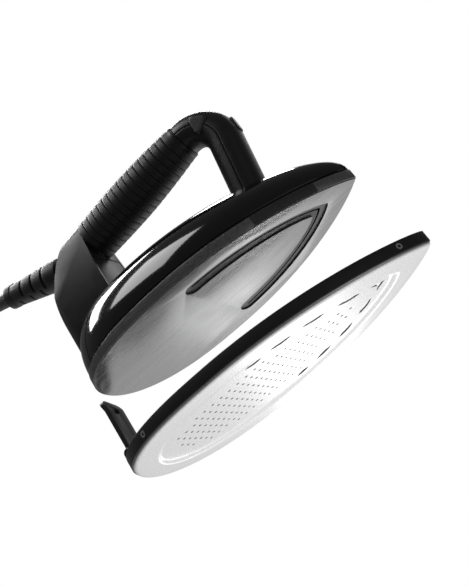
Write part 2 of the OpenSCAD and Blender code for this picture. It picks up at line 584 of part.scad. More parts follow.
// Leaf slots: middle, length and angle on the right side; the left side mirrors them.
LEAVES = [[60, 14.6, 16, 34], [39, 27.2, 16, 26], [17.6, 34, 15.6, 17], [-2, 37, 12, 12]];
module leaf(length, width) {
    r = (pow(length / 2, 2) + pow(width / 2, 2)) / width;
    intersection() {
        translate([0, r - width / 2]) circle(r = r, $fn = 96);
        translate([0, width / 2 - r]) circle(r = r, $fn = 96);
    }
}
module steam_openings() {
    for (i = [0 : len(ROW_COUNTS) - 1], j = [0 : ROW_COUNTS[i] - 1])
        translate([first_row_x - i * row_pitch, (j - (ROW_COUNTS[i] - 1) / 2) * hole_pitch])
            circle(d = hole_d, $fn = 16);
    for (f = LEAVES, s = [-1, 1]) translate([f[0], s * f[1]]) rotate([0, 0, s * -f[3]]) leaf(f[2], 4.2);
    polygon([[81, 0], [72.5, 6.2], [75.6, 0], [72.5, -6.2]]);
}
MID_STEP = [44.7, -17.5, 88, -98.5, 0.7];
STEP_IN = [MID_STEP[0] - 1.2, MID_STEP[1], MID_STEP[2] - 1.6, MID_STEP[3] + 1.2, MID_STEP[4]];
module shoe_plate() color([0.86, 0.86, 0.87]) {
    translate([0, 0, panel_rise]) linear_extrude(sheet) difference() {
        polygon(sole_outline(MID_STEP));
        steam_openings();
    }
    difference() {
        slab(MID_STEP, panel_rise);
        translate([0, 0, -1]) slab(STEP_IN, panel_rise + 1);
    }
    difference() {
        union() {
            slab(SHOE_FOOT, 0.8);
            translate([0, 0, 0.8]) slab(SHOE_EDGE, 1.6);
        }
        translate([0, 0, sheet]) slab(TURN_IN, 4);
        translate([0, 0, -1]) slab(MID_STEP, 4);
    }
    translate([0, 0, rim_z]) difference() {
        slab(RIM_IN, 6);
        translate([0, 0, -1]) slab(TURN_IN, 8);
        for (r = RIVETS, s = [-1, 1]) rivet_place(r, s) cylinder(h = 9, r = 1.65, $fn = 32, center = true);
    }
}
rim_z = 2.4;
module shoe_rim() color([0.1, 0.1, 0.1]) translate([0, 0, rim_z]) difference() {
    slab(RIM_OUT, rim_h, 22);
    translate([0, 0, -1]) slab(RIM_IN, rim_h + 2);
    for (r = RIVETS, s = [-1, 1]) rivet_place(r, s) cylinder(h = 9, r = 1.65, $fn = 32, center = true);
}
// Rivets: x, y and the direction that the rim faces there.
RIVETS = [[101.2, 16.2, 48], [-75, 55.4, 111]];
module rivet_place(r, s) translate([r[0], s * r[1], rim_h / 2]) rotate([0, 0, s * r[2]]) rotate([0, 90, 0])
    children();
module rim_rivets() color("gainsboro") translate([0, 0, rim_z]) for (r = RIVETS, s = [-1, 1])
    rivet_place(r, s) difference() {
        union() {
            translate([0, 0, -3.4]) cylinder(h = 3.5, r = 1.6, $fn = 32);
            translate([0, 0, 0.05]) cylinder(h = 0.35, r = 2, $fn = 32);
        }
        translate([0, 0, -4]) cylinder(h = 6, r = 0.9, $fn = 24);
    }

module at_pin() translate([pin_x, 0, pin_z]) rotate([90, 0, 0]) children();
bracket_x = RIM_OUT[3] - 0.05;
bracket_foot = 5;
rim_top = rim_z + rim_h;
module heel_bracket() color([0.09, 0.09, 0.09]) difference() {
    union() {
        translate([0, ear_out, 0]) rotate([90, 0, 0]) linear_extrude(2 * ear_out)
            polygon([[pin_x - ear_r, 9], [pin_x - ear_r + 1, bracket_foot], [bracket_x, bracket_foot],
                [bracket_x, 15], [pin_x - ear_r, 15]]);
        for (s = [-1, 1]) translate([0, s * (ear_in + ear_out) / 2 + (ear_out - ear_in) / 2, 0])
            rotate([90, 0, 0]) linear_extrude(ear_out - ear_in) polygon(concat(
                [[pin_x - ear_r, rim_top + 0.1], [pin_x + ear_r, rim_top + 0.1]],
                corner_arc(pin_x, pin_z, ear_r, 0, 180, 12)));
    }
    at_pin() cylinder(h = 60, r = pin_r + 0.05, $fn = 32, center = true);
}
lever_x = pin_x - 1.2;
flare = 1.8;
// Upper end of the lever: high on the right side, sloping down to the left; it leans back at the tip.
module lever_plan() polygon(concat([[-lever_half, pin_z], [lever_half, pin_z]],
    corner_arc(lever_half - 7, lever_top - 10.1, 7, 0, 65, 8),
    corner_arc(3.5 - lever_half, lever_top - 3.5, 3.5, 65, 180, 10)));
module lever_profile() polygon([[lever_x, pin_z], [lever_x + lever_t, pin_z],
    [lever_x + lever_t, lever_top - 8], [lever_x + lever_t - flare, lever_top + 1],
    [lever_x - flare, lever_top + 1], [lever_x, lever_top - 8]]);
// Teardrop finger hole, its narrow end up and to the right.
module lever_hole() polygon(concat(corner_arc(-0.6, 52, 3, 206, 421, 14),
    corner_arc(-4.3, 55.9, 1.4, 61, 206, 8)));
module latch_lever() color([0.1, 0.1, 0.1]) difference() {
    union() {
        intersection() {
            translate([pin_x - 4, 0, 0]) rotate([90, 0, 90]) linear_extrude(12) lever_plan();
            translate([0, 20, 0]) rotate([90, 0, 0]) linear_extrude(40) lever_profile();
        }
        at_pin() cylinder(h = 2 * lever_half, r = 2.9, $fn = 40, center = true);
    }
    at_pin() cylinder(h = 60, r = pin_r + 0.05, $fn = 32, center = true);
    at_pin() cylinder(h = 8, r = 4, $fn = 40, center = true);
    translate([pin_x - 6, 0, 0]) rotate([90, 0, 90]) linear_extrude(16) lever_hole();
}
module latch_pin() color("silver") at_pin()
    cylinder(h = 2 * ear_out, r = pin_r, $fn = 32, center = true);
module latch_spring() color("silver") at_pin() translate([0, 0, -3])
    spring(1.8, 0.7, 6, 5);

soleplate();
heating_element();
chamber_seal();
chamber_cover();
cover_screws();
steam_inlet();
thermostat();
thermal_fuse();
temperature_sensor();
gap_ring();
standoffs();
heat_shield();
deck_screws();
body_shell();
column_left();
column_right();
column_front();
terminal_block();
wiring();
steam_tube();
handle_core();
grip_sleeve();
grip_collar();
post_core();
elbow_outer();
elbow_inner();
elbow_screws();
switch_board();
microswitches();
steam_button_right();
steam_button_left();
front_button();
button_spring_right();
button_spring_left();
front_button_spring();
strain_relief();
relief_collar();
hose_clamp();
hose_lead();
hose_coil();
coil_tie();
hose_tail();
connector_body();
connector_nozzle();
connector_pins();
shoe_plate();
shoe_rim();
rim_rivets();
heel_bracket();
latch_lever();
latch_pin();
latch_spring();
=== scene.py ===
import math

import bmesh
import bpy
from mathutils import Matrix, Vector


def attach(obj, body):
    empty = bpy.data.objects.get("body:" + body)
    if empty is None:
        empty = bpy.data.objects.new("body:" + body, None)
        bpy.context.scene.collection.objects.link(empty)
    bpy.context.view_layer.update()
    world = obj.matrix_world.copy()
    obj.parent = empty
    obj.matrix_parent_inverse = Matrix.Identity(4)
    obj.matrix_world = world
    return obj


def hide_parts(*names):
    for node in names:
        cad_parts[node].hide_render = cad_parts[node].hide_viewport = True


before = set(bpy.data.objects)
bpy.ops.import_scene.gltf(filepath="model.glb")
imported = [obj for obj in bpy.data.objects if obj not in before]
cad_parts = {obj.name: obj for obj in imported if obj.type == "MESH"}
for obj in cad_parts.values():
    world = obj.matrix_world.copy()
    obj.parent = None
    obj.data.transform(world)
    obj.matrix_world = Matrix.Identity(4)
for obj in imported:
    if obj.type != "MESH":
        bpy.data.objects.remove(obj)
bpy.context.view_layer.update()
scene = bpy.context.scene

MM = 0.001
SOLE_Z = 62.5  # height of the sole's face over the surface, in millimetres like every size below

# ---------- Camera ----------

# From the iron's right and below the surface, with the camera rolled.
EYE = Vector((0.14555, -0.46731, -0.14775))
SCREEN_RIGHT = Vector((0.71937, 0.45478, -0.52505)).normalized()
SCREEN_BACK = Vector((0.27160, -0.87986, -0.38998)).normalized()
FOCAL_PIXELS = 838.2
PICTURE_HEIGHT = 586
SENSOR = 36

camera = bpy.data.objects.new("camera", bpy.data.cameras.new("camera"))
scene.collection.objects.link(camera)
scene.camera = camera
axes = Matrix((SCREEN_RIGHT, SCREEN_BACK.cross(SCREEN_RIGHT), SCREEN_BACK)).transposed()
camera.matrix_world = Matrix.Translation(EYE) @ axes.to_4x4()
camera.data.sensor_fit = "AUTO"
camera.data.sensor_width = SENSOR
camera.data.lens = FOCAL_PIXELS * SENSOR / PICTURE_HEIGHT
camera.data.clip_start = 0.01
camera.data.clip_end = 20


# ---------- Materials ----------

def link(tree, a, b):
    tree.links.new(a, b)


def new_material(name, **sockets):
    mat = bpy.data.materials.new(name)
    mat.use_nodes = True
    tree = mat.node_tree
    shader = tree.nodes["Principled BSDF"]
    for key, value in sockets.items():
        shader.inputs[key.replace("_", " ")].default_value = value
    return mat, tree, shader


def noise(tree, scale, detail=3.0, stretch=(1, 1, 1), rough=0.5):
    """Noise in the object's own coordinates; scale is in features per metre."""
    coord = tree.nodes.new("ShaderNodeTexCoord")
    mapping = tree.nodes.new("ShaderNodeMapping")
    mapping.inputs["Scale"].default_value = [s * scale for s in stretch]
    tex = tree.nodes.new("ShaderNodeTexNoise")
    tex.inputs["Scale"].default_value = 1.0
    tex.inputs["Detail"].default_value = detail
    tex.inputs["Roughness"].default_value = rough
    link(tree, coord.outputs["Object"], mapping.inputs["Vector"])
    link(tree, mapping.outputs[0], tex.inputs["Vector"])
    return tex.outputs[0]


def spread(tree, value, low, high):
    """Takes the middle of a noise's range to low..high."""
    node = tree.nodes.new("ShaderNodeMapRange")
    link(tree, value, node.inputs["Value"])
    node.inputs["From Min"].default_value = 0.3
    node.inputs["From Max"].default_value = 0.7
    node.inputs["To Min"].default_value = low
    node.inputs["To Max"].default_value = high
    return node.outputs[0]


def tint(tree, value, dark, light, start=0.3, stop=0.7):
    """Colour ramp from dark to light over a value."""
    node = tree.nodes.new("ShaderNodeValToRGB")
    node.color_ramp.elements[0].position = start
    node.color_ramp.elements[1].position = stop
    node.color_ramp.elements[0].color = (*dark, 1)
    node.color_ramp.elements[1].color = (*light, 1)
    link(tree, value, node.inputs[0])
    return node.outputs[0]


def bump(tree, shader, height, strength, distance):
    node = tree.nodes.new("ShaderNodeBump")
    node.inputs["Strength"].default_value = strength
    node.inputs["Distance"].default_value = distance
    link(tree, height, node.inputs["Height"])
    link(tree, node.outputs[0], shader.inputs["Normal"])


def scaled(c, k):
    return tuple(min(1, x * k) for x in c)


def plastic(name, colour, rough, grain=2500, depth=0.15, vary=0.05, coat=0.0):
    """Moulded plastic: a fine grain, a slow drift in gloss and faint handling marks."""
    mat, tree, shader = new_material(name, Coat_Weight=coat, Coat_Roughness=0.05)
    slow = noise(tree, 45, 2)
    shades = tint(tree, slow, scaled(colour, 0.86), scaled(colour, 1.18))
    link(tree, shades, shader.inputs["Base Color"])
    marks = noise(tree, 160, 5, rough=0.7)
    link(tree, spread(tree, marks, rough - vary, rough + vary), shader.inputs["Roughness"])
    bump(tree, shader, noise(tree, grain, 2), depth, 0.0001)
    return mat


def rubber(name, colour, rough=0.62):
    mat, tree, shader = new_material(name, Sheen_Weight=0.15, Sheen_Roughness=0.5)
    slow = noise(tree, 120, 4)
    shades = tint(tree, slow, scaled(colour, 0.75), scaled(colour, 1.4))
    link(tree, shades, shader.inputs["Base Color"])
    wear = noise(tree, 700, 3)
    link(tree, spread(tree, wear, rough - 0.07, rough + 0.06), shader.inputs["Roughness"])
    bump(tree, shader, noise(tree, 3200, 3), 0.35, 0.00012)
    return mat


def metal(name, colour, rough, vary=0.05, grain=900, depth=0.1, stretch=(1, 1, 1), metallic=1.0,
          aniso=0.0):
    """Satin or brushed metal; a stretch makes the brushing lines."""
    mat, tree, shader = new_material(name, Metallic=metallic, Anisotropic=aniso)
    fine = noise(tree, grain, 4, stretch, rough=0.6)
    broad = noise(tree, 30, 3)
    shades = tint(tree, fine, scaled(colour, 0.8), scaled(colour, 1.12))
    link(tree, shades, shader.inputs["Base Color"])
    total = tree.nodes.new("ShaderNodeMath")
    total.operation = "ADD"
    link(tree, spread(tree, fine, -vary, vary), total.inputs[0])
    link(tree, spread(tree, broad, rough - vary / 2, rough + vary / 2), total.inputs[1])
    link(tree, total.outputs[0], shader.inputs["Roughness"])
    bump(tree, shader, fine, depth, 0.00004)
    if aniso:
        along = tree.nodes.new("ShaderNodeCombineXYZ")
        along.inputs[0].default_value = 1.0
        link(tree, along.outputs[0], shader.inputs["Tangent"])
    return mat


def braid(name, colour, turns, pitch):
    """Woven sleeve on the hose: two sets of threads that cross, from the tube's own UVs."""
    mat, tree, shader = new_material(name, Sheen_Weight=0.35, Sheen_Roughness=0.4)
    coord = tree.nodes.new("ShaderNodeTexCoord")
    split = tree.nodes.new("ShaderNodeSeparateXYZ")
    link(tree, coord.outputs["UV"], split.inputs[0])

    def math_node(kind, a, b=None):
        n = tree.nodes.new("ShaderNodeMath")
        n.operation = kind
        for i, x in enumerate((a, b)):
            if isinstance(x, (int, float)):
                n.inputs[i].default_value = x
            elif x is not None:
                link(tree, x, n.inputs[i])
        return n.outputs[0]

    along = math_node("MULTIPLY", split.outputs[0], 2 * math.pi / pitch)
    around = math_node("MULTIPLY", split.outputs[1], 2 * math.pi * turns)
    right_hand = math_node("SINE", math_node("ADD", along, around))
    left_hand = math_node("SINE", math_node("SUBTRACT", along, around))
    over = math_node("MAXIMUM", math_node("ABSOLUTE", right_hand), math_node("ABSOLUTE", left_hand))
    height = math_node("MULTIPLY", over, over)
    fleck = noise(tree, 1800, 2)
    mixed = math_node("ADD", math_node("MULTIPLY", height, 0.75),
                      math_node("MULTIPLY", fleck, 0.35))
    # The colour follows the weave's height: painted shade in its hollows and a painted highlight on the
    # raised threads, with a random fleck of tone mixed in.
    shades = tint(tree, mixed, scaled(colour, 0.25), scaled(colour, 2.6), 0.45, 0.98)
    link(tree, shades, shader.inputs["Base Color"])
    link(tree, spread(tree, mixed, 0.75, 0.48), shader.inputs["Roughness"])
    bump(tree, shader, mixed, 0.9, 0.0005)
    return mat


GLOSS = plastic("gloss_black_shell", (0.0035, 0.0035, 0.004), 0.10, 2200, 0.02, 0.02, 0.35)
SATIN = plastic("satin_black_plastic", (0.011, 0.011, 0.0115), 0.36, 2600, 0.16, 0.05)
# The column's front inlay is a little lighter than the satin black: painted light for its lit front face.
INSERT_PAINTED_LIGHT = plastic("insert_plastic_painted_light", (0.016, 0.016, 0.0165), 0.4, 2600, 0.14, 0.05)
KEYS = plastic("button_plastic", (0.015, 0.015, 0.0155), 0.42, 2600, 0.12, 0.05)
RIM = plastic("rim_plastic", (0.010, 0.010, 0.0105), 0.42, 2600, 0.14, 0.06)
LEVER = plastic("lever_plastic", (0.012, 0.012, 0.0125), 0.38, 2600, 0.14, 0.06)
ICON = plastic("icon_print", (0.10, 0.10, 0.10), 0.5, 3000, 0.05, 0.05)
GRIP = rubber("grip_rubber", (0.0045, 0.0045, 0.0045), 0.5)
BOOT = rubber("boot_rubber", (0.0075, 0.0075, 0.0075), 0.5)
SEAL = rubber("silicone_seal", (0.36, 0.05, 0.03), 0.5)
TIE = rubber("strap_rubber", (0.03, 0.03, 0.032), 0.6)
TUBE = rubber("silicone_tube", (0.62, 0.42, 0.33), 0.4)
WIRE = rubber("wire_sleeve", (0.08, 0.1, 0.12), 0.5)
BRUSHED = metal("brushed_aluminium", (0.30, 0.30, 0.303), 0.30, 0.09, 1300, 0.3, (0.014, 1, 1),
                aniso=0.6)
SHEET = metal("satin_steel_sheet", (0.86, 0.86, 0.865), 0.30, 0.03, 1100, 0.04, metallic=0.95)
# Darker metal for the walls and floor of the sole's groove: painted shade in the recess.
GROOVE_SHADE = metal("groove_painted_shade", (0.10, 0.10, 0.102), 0.45, 0.05, 1100, 0.08)
STEEL = metal("bright_steel", (0.72, 0.72, 0.73), 0.22, 0.05, 900, 0.08)
DARKMETAL = metal("oxidised_steel", (0.22, 0.22, 0.225), 0.4, 0.08, 700, 0.15)
BRASS = metal("brass", (0.72, 0.5, 0.2), 0.28, 0.06, 800, 0.1)
CAST = metal("cast_aluminium", (0.5, 0.5, 0.51), 0.5, 0.08, 600, 0.3)
CERAMIC = plastic("ceramic", (0.62, 0.6, 0.54), 0.45, 900, 0.2, 0.06)
BOARD = plastic("circuit_board", (0.01, 0.09, 0.03), 0.3, 800, 0.1, 0.05)
DARKPART = plastic("switch_plastic", (0.02, 0.02, 0.022), 0.4)

NODE_MATERIALS = {
    "heating_element": DARKMETAL, "chamber_seal": SEAL, "chamber_cover": CAST, "cover_screws": STEEL,
    "steam_inlet": BRASS, "thermostat": CERAMIC, "thermal_fuse": CERAMIC, "temperature_sensor": BRASS,
    "gap_ring": RIM, "standoffs": CAST, "heat_shield": DARKMETAL, "deck_screws": STEEL,
    "terminal_block": CERAMIC, "wiring": WIRE, "steam_tube": TUBE, "handle_core": CAST, "post_core": CAST,
    "elbow_screws": STEEL, "button_spring_right": STEEL, "button_spring_left": STEEL,
    "front_button_spring": STEEL, "switch_board": BOARD, "microswitches": DARKPART, "hose_clamp": STEEL,
    "connector_nozzle": BRASS, "connector_pins": STEEL, "rim_rivets": STEEL, "latch_pin": STEEL,
    "latch_spring": STEEL, "coil_tie": TIE,
}


# ---------- Mesh helpers ----------

def add_piece(name, mesh, mat, body, replaces=(), sharp=35):
    """Smooth-shaded piece that rides on a body; edges past sharp degrees stay crisp."""
    for poly in mesh.polygons:
        poly.use_smooth = True
    mesh.set_sharp_from_angle(angle=math.radians(sharp))
    mesh.materials.clear()
    mesh.materials.append(mat)
    obj = bpy.data.objects.new(name, mesh)
    scene.collection.objects.link(obj)
    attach(obj, body)
    if replaces:
        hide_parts(*replaces)
    return obj


def apply(obj, kind, **settings):
    """Puts a modifier on a piece and keeps its result."""
    mod = obj.modifiers.new(kind.lower(), kind)
    for key, value in settings.items():
        setattr(mod, key, value)
    graph = bpy.context.evaluated_depsgraph_get()
    mesh = bpy.data.meshes.new_from_object(obj.evaluated_get(graph))
    old = obj.data
    obj.modifiers.remove(mod)
    obj.data = mesh
    if old.users == 0:
        bpy.data.meshes.remove(old)


def bevelled(obj, width, segments=2, angle=38):
    """Rounds the edges of a piece that turn by more than angle degrees."""
    apply(obj, "BEVEL", width=width * MM, segments=segments, limit_method="ANGLE",
          angle_limit=math.radians(angle), miter_outer="MITER_ARC", use_clamp_overlap=True)
    for poly in obj.data.polygons:
        poly.use_smooth = True
    obj.data.set_sharp_from_angle(angle=math.radians(32))


def from_node(name, node, mat, body, bevel=0.3, segments=2, angle=38):
    """A finished copy of a CAD node, with its edges rounded."""
    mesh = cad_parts[node].data.copy()
    bm = bmesh.new()
    bm.from_mesh(mesh)
    bmesh.ops.remove_doubles(bm, verts=bm.verts, dist=0.00001)
    bmesh.ops.dissolve_limit(bm, angle_limit=math.radians(0.6), verts=bm.verts, edges=bm.edges)
    bm.to_mesh(mesh)
    bm.free()
    obj = add_piece(name, mesh, mat, body, (node,))
    if bevel:
        bevelled(obj, bevel, segments, angle)
    return obj


def skin(rings, loop=False):
    """Closed mesh through equal rings of points in millimetres, capped unless it is a loop."""
    n, m = len(rings), len(rings[0])
    verts = [Vector(p) * MM for r in rings for p in r]
    faces = []
    for i in range(n if loop else n - 1):
        k = (i + 1) % n
        for j in range(m):
            q = (j + 1) % m
            faces.append((i * m + j, i * m + q, k * m + q, k * m + j))
    if not loop:
        faces.append(tuple(range(m - 1, -1, -1)))
        faces.append(tuple((n - 1) * m + j for j in range(m)))
    mesh = bpy.data.meshes.new("skin")
    mesh.from_pydata(verts, [], faces)
    bm = bmesh.new()
    bm.from_mesh(mesh)
    bmesh.ops.recalc_face_normals(bm, faces=bm.faces)
    bm.to_mesh(mesh)
    bm.free()
    return mesh


def cut(obj, rings_list):
    """Subtracts closed skins from a piece."""
    for rings in rings_list:
        tool = bpy.data.objects.new("tool", skin(rings))
        scene.collection.objects.link(tool)
        apply(obj, "BOOLEAN", operation="DIFFERENCE", solver="EXACT", object=tool)
        bpy.data.objects.remove(tool)


def outline(c, n=56):
    """Sole-like outline from [half width, widest x, nose x, tail x, bluntness]."""
    top = []
    for i in range(n + 1):
        t = math.radians(90 - 90 * i / n)
        top.append((c[1] + (c[2] - c[1]) * math.sin(t), c[0] * math.cos(t) ** (2 * c[4])))
    for i in range(1, n + 1):
        t = math.radians(90 * i / n)
        top.append((c[1] - (c[1] - c[3]) * math.sin(t) ** (2 / 2.7), max(0.0, c[0] * math.cos(t))))
    return top + [(x, -y) for x, y in reversed(top[1:-1])]


def swept_outline(profile, n=56):
    """Closed ring swept round the sole outline; the profile holds (curve, z)."""
    rings = [[(x, y, z) for x, y in outline(c, n)] for c, z in profile]
    return skin(rings, loop=True)


def lathe(profile, place, n=96):
    """Turns a closed profile of (radius, height) round place's Z axis."""
    rings = []
    for i in range(n):
        a = 2 * math.pi * i / n
        rings.append([place @ Vector((r * math.cos(a), r * math.sin(a), h)) for r, h in profile])
    return skin(rings, loop=True)


def mix(a, b, t):
    return [p + (q - p) * t for p, q in zip(a, b)]


# ---------- Hose ----------

HOSE_D = 11.0
LEAD = [(-128, 0, 170.4), (-141, 0, 174.8), (-155, 0, 179.4), (-171, -1, 183), (-188, -2, 183),
        (-204, -4, 179), (-218, -8, 171), (-230, -13, 160), (-239, -18, 146), (-246, -24, 130),
        (-251, -30, 113), (-256, -36, 95), (-262, -42, 77), (-270, -48, 60), (-281, -54, 43),
        (-296, -59.5, 27), (-313, -63, 14), (-331, -64.3, 7.2), (-348, -63.5, 5.5)]
TAIL = [(-346.5, 65.3, 16.5), (-334, 62, 18.5), (-322, 55.5, 22), (-312, 47, 25.5), (-303.5, 36, 27.5),
        (-298, 23.5, 28), (-295, 10.5, 28), (-294.5, -2.5, 28), (-297, -15.5, 28.5), (-302, -27.5, 29.5),
        (-310, -38, 31), (-320, -46.8, 32.2), (-331, -52.5, 32.6), (-343, -55.5, 32.6), (-355, -56, 32.6)]
COIL_AT = (-358, 1)
COIL_START = -81.2  # degrees
COIL_TURNS = 3.553
COIL_RISE = 0.28  # part of a turn in which the hose climbs from one layer to the next
COIL_R = 65.3
COIL_PITCH = 11.35  # between the turns of one layer


def smooth(t):
    t = max(0.0, min(1.0, t))
    return t * t * (3 - 2 * t)


def coil_points():
    """Clockwise: one spiral inwards on the floor, up, and one spiral outwards on top."""
    per_layer = (COIL_TURNS - COIL_RISE) / 2
    out = []
    steps = int(COIL_TURNS * 24)
    for i in range(1, steps):
        u = COIL_TURNS * i / steps
        a = math.radians(COIL_START - 360 * u)
        if u < per_layer:
            r, z = COIL_R - COIL_PITCH * u, 0.5 * HOSE_D
        elif u < per_layer + COIL_RISE:
            climbed = smooth((u - per_layer) / COIL_RISE)
            r, z = COIL_R - COIL_PITCH * per_layer, (0.5 + climbed) * HOSE_D
        else:
            r, z = COIL_R - COIL_PITCH * (COIL_TURNS - u), 1.5 * HOSE_D
        out.append((COIL_AT[0] + r * math.cos(a), COIL_AT[1] + r * math.sin(a), z))
    return out


def catmull(points, step):
    """Smooth line through the points, with a vertex about every step."""
    pts = [Vector(p) for p in points]
    pts = [2 * pts[0] - pts[1]] + pts + [2 * pts[-1] - pts[-2]]
    out = []
    for i in range(1, len(pts) - 2):
        p0, p1, p2, p3 = pts[i - 1:i + 3]
        n = max(2, round((p2 - p1).length / step))
        for k in range(n):
            t = k / n
            out.append(0.5 * (2 * p1 + (p2 - p0) * t + (2 * p0 - 5 * p1 + 4 * p2 - p3) * t * t
                              + (3 * p1 - p0 - 3 * p2 + p3) * t ** 3))
    out.append(pts[-2])
    return out


def tube_mesh(points, radius, n):
    """Round tube with UVs: u runs along it in metres and v round it."""
    tangents = [(points[min(i + 1, len(points) - 1)] - points[max(i - 1, 0)]).normalized()
                for i in range(len(points))]
    side = tangents[0].orthogonal().normalized()
    rings, far = [], [0.0]
    for i, p in enumerate(points):
        if i:
            far.append(far[-1] + (p - points[i - 1]).length)
            side = (side - tangents[i] * side.dot(tangents[i])).normalized()
        other = tangents[i].cross(side)
        ring = []
        for j in range(n):
            a = 2 * math.pi * j / n
            ring.append(p + radius * (math.cos(a) * side + math.sin(a) * other))
        rings.append(ring)
    verts = [v * MM for r in rings for v in r]
    faces, uvs = [], []
    for i in range(len(points) - 1):
        for j in range(n):
            q = (j + 1) % n
            faces.append((i * n + j, i * n + q, (i + 1) * n + q, (i + 1) * n + j))
            uvs += [(far[i] * MM, j / n), (far[i] * MM, (j + 1) / n),
                    (far[i + 1] * MM, (j + 1) / n), (far[i + 1] * MM, j / n)]
    faces.append(tuple(range(n - 1, -1, -1)))
    faces.append(tuple((len(points) - 1) * n + j for j in range(n)))
    uvs += [(0, 0)] * (2 * n)
    mesh = bpy.data.meshes.new("tube")
    mesh.from_pydata(verts, [], faces)
    layer = mesh.uv_layers.new(name="UVMap")
    for k, uv in enumerate(uvs):
        layer.data[k].uv = uv
    return mesh, far[-1] * MM


SLEEVE = braid("braided_sleeve", (0.016, 0.016, 0.0165), turns=12, pitch=0.0034)
hose_line = catmull(LEAD + coil_points() + TAIL, step=3.6)
hose_mesh, hose_length = tube_mesh(hose_line, radius=HOSE_D / 2 - 0.05, n=28)
hose = add_piece("steam_hose", hose_mesh, SLEEVE, "iron", ("hose_lead", "hose_coil", "hose_tail"), 60)
connector = from_node("hose_connector", "connector_body", SATIN, "iron", 0.8, 3)
tie = from_node("hose_strap", "coil_tie", TIE, "iron", 0.4)
boot = from_node("cord_boot", "strain_relief", BOOT, "iron", 0.3)
boot_end = from_node("cord_boot_end", "relief_collar", BOOT, "iron", 0.5, 3)

# ---------- Sole ----------

# Everything inside this box is the wall or floor of the groove in the sole's face; these faces get darker
# metal as painted shade in the groove.
GROOVE_LOW = Vector((-30, -44, SOLE_Z + 0.5))
GROOVE_HIGH = Vector((84, 44, SOLE_Z + 4.2))

sole = from_node("sole_plate", "soleplate", BRUSHED, "iron", 0.35, 3)
sole.data.materials.append(GROOVE_SHADE)
for poly in sole.data.polygons:
    c = poly.center / MM
    if all(low < value < high for low, value, high in zip(GROOVE_LOW, c, GROOVE_HIGH)):
        poly.material_index = 1

# ---------- Body shell ----------

SHELL_AT = SOLE_Z + 8.8
SHELL_NOSE = 105.2
SHELL_TAIL = -110.4
SHELL_HALF = 57.4
WIDEST_X = -20
SHELL_HEIGHT = 45
HIGHEST_X = -45
SHELL_TIP = 2.4  # the arch gets no smaller than this at the nose and tail
HOLLOW_TIP = 0.8
SHELL_STEPS = 110
WALL = 2.2


def shell_half(x):
    """Half width of the shell at x."""
    if x > WIDEST_X:
        return SHELL_HALF * max(0.0, 1 - ((x - WIDEST_X) / (SHELL_NOSE - WIDEST_X)) ** 2) ** 0.85
    return SHELL_HALF * max(0.0, 1 - ((WIDEST_X - x) / (WIDEST_X - SHELL_TAIL)) ** 2.7) ** 0.5


def shell_rise(x):
    """Height of the shell's arch at x."""
    if x > HIGHEST_X:
        return SHELL_HEIGHT * max(0.0, 1 - ((x - HIGHEST_X) / (SHELL_NOSE - HIGHEST_X)) ** 1.6) ** 0.5
    return SHELL_HEIGHT * max(0.0, 1 - ((HIGHEST_X - x) / (HIGHEST_X - SHELL_TAIL)) ** 4) ** 0.5


def shell_ring(x, n=64):
    """Section of the shell at x: the outer arch between two rounded lips, and the inner arch back."""
    half = max(SHELL_TIP, shell_half(x))
    rise = max(SHELL_TIP, shell_rise(x))
    inner_half = max(HOLLOW_TIP, half - WALL)
    inner_rise = max(HOLLOW_TIP, rise - WALL)
    lip = [(half - 0.7, 0.0), (half - 0.22, 0.2)]
    section = list(lip)
    for i in range(n + 1):
        t = math.pi * (0.02 + 0.96 * i / n)
        section.append((half * math.cos(t), rise * math.sin(t)))
    section += [(-y, z) for y, z in reversed(lip)]
    for i in range(n + 1):
        t = math.pi * (1 - i / n)
        section.append((inner_half * math.cos(t), inner_rise * math.sin(t)))
    return [(x, y, z + SHELL_AT) for y, z in section]


# The stations crowd together at the nose and tail, where the shell closes.
middle = (SHELL_NOSE + SHELL_TAIL) / 2
reach = (SHELL_NOSE - SHELL_TAIL) / 2 - 0.1
stations = [middle + math.cos(math.pi * i / SHELL_STEPS) * reach for i in range(SHELL_STEPS + 1)]
add_piece("shell_cover", skin([shell_ring(x) for x in stations]), GLOSS, "iron", ("body_shell",), 40)

# ---------- Handle ----------

TILT_DEGREES = 5
GRIP_TILT = math.radians(TILT_DEGREES)
GRIP_ZERO = 102.3  # height of the grip's axis over the sole at x = 0
COLUMN_X = -60.5
GRIP_END = 33.7
GRIP_LEN = (GRIP_END - COLUMN_X) / math.cos(GRIP_TILT)
GRIP_BORE = 11.1
GRIP_R = 16.6
GRIP_WIDEST = 0.4  # part of the grip's length from the column
RIBS = 17
COLLAR = 3.2
RIB = (GRIP_LEN - COLLAR) / RIBS
RIB_STEPS = 8
RIB_GROOVE = ((-0.34, 0.22), (-0.2, 0.55), (0, 0.8), (0.2, 0.55), (0.34, 0.22))  # (along, deep)


def grip_height(x):
    return SOLE_Z + GRIP_ZERO + math.tan(GRIP_TILT) * x


def on_grip(x):
    """Frame on the grip's axis above x, with Z along the grip."""
    return Matrix.Translation((x, 0, grip_height(x))) @ Matrix.Rotation(math.pi / 2 - GRIP_TILT, 4, "Y")


def barrel(s):
    """Radius of the grip at s along it."""
    u = s / GRIP_LEN
    if u < GRIP_WIDEST:
        return GRIP_R - 0.8 * ((GRIP_WIDEST - u) / GRIP_WIDEST) ** 2
    return GRIP_R - 3.6 * ((u - GRIP_WIDEST) / (1 - GRIP_WIDEST)) ** 1.7


